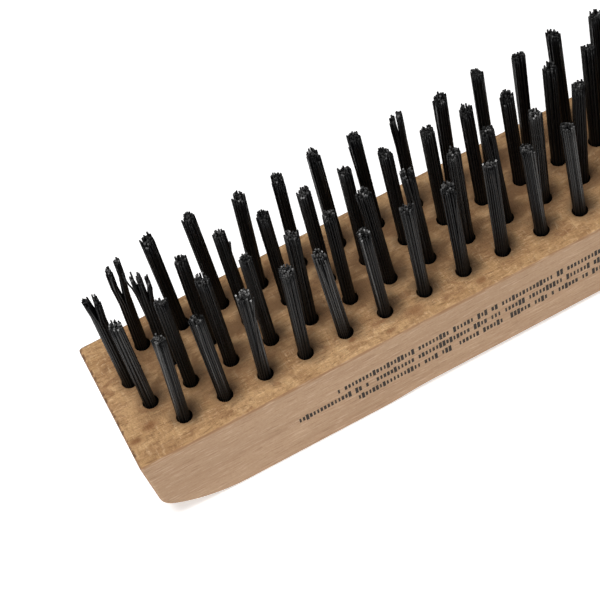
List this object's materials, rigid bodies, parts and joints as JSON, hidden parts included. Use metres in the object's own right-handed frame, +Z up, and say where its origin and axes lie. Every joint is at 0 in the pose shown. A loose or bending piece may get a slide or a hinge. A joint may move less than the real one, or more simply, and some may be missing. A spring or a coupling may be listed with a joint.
{
  "type": "wire scratch brush",
  "caption": "Wooden scratch brush in one piece with its handle, with rows of stiff steel wire tufts anchored in drilled holes and a hang hole.",
  "frame": {"origin": "on the resting surface below the middle of the brush, with the wires standing up", "axes": "+X along the brush from the nose to the end of the handle, +Y across it, +Z up along the wires"},
  "size_m": [0.356, 0.0316, 0.0478],
  "materials": {
    "beech": "bare sanded wood, slightly rough",
    "bristle_wire": "dark oil-tempered wire with bright cut ends",
    "anchor_wire": "bright flat wire"
  },
  "bodies": {
    "root": {"wooden_handle": "beech", "bristle_column_01": "bristle_wire", "bristle_column_02": "bristle_wire", "bristle_column_03": "bristle_wire", "bristle_column_04": "bristle_wire", "bristle_column_05": "bristle_wire", "bristle_column_06": "bristle_wire", "bristle_column_07": "bristle_wire", "bristle_column_08": "bristle_wire", "bristle_column_09": "bristle_wire", "bristle_column_10": "bristle_wire", "bristle_column_11": "bristle_wire", "bristle_column_12": "bristle_wire", "bristle_column_13": "bristle_wire", "bristle_column_14": "bristle_wire", "bristle_column_15": "bristle_wire", "bristle_column_16": "bristle_wire", "bristle_column_17": "bristle_wire", "bristle_column_18": "bristle_wire", "anchor_column_01": "anchor_wire", "anchor_column_02": "anchor_wire", "anchor_column_03": "anchor_wire", "anchor_column_04": "anchor_wire", "anchor_column_05": "anchor_wire", "anchor_column_06": "anchor_wire", "anchor_column_07": "anchor_wire", "anchor_column_08": "anchor_wire", "anchor_column_09": "anchor_wire", "anchor_column_10": "anchor_wire", "anchor_column_11": "anchor_wire", "anchor_column_12": "anchor_wire", "anchor_column_13": "anchor_wire", "anchor_column_14": "anchor_wire", "anchor_column_15": "anchor_wire", "anchor_column_16": "anchor_wire", "anchor_column_17": "anchor_wire", "anchor_column_18": "anchor_wire"}
  },
  "joints": []
}
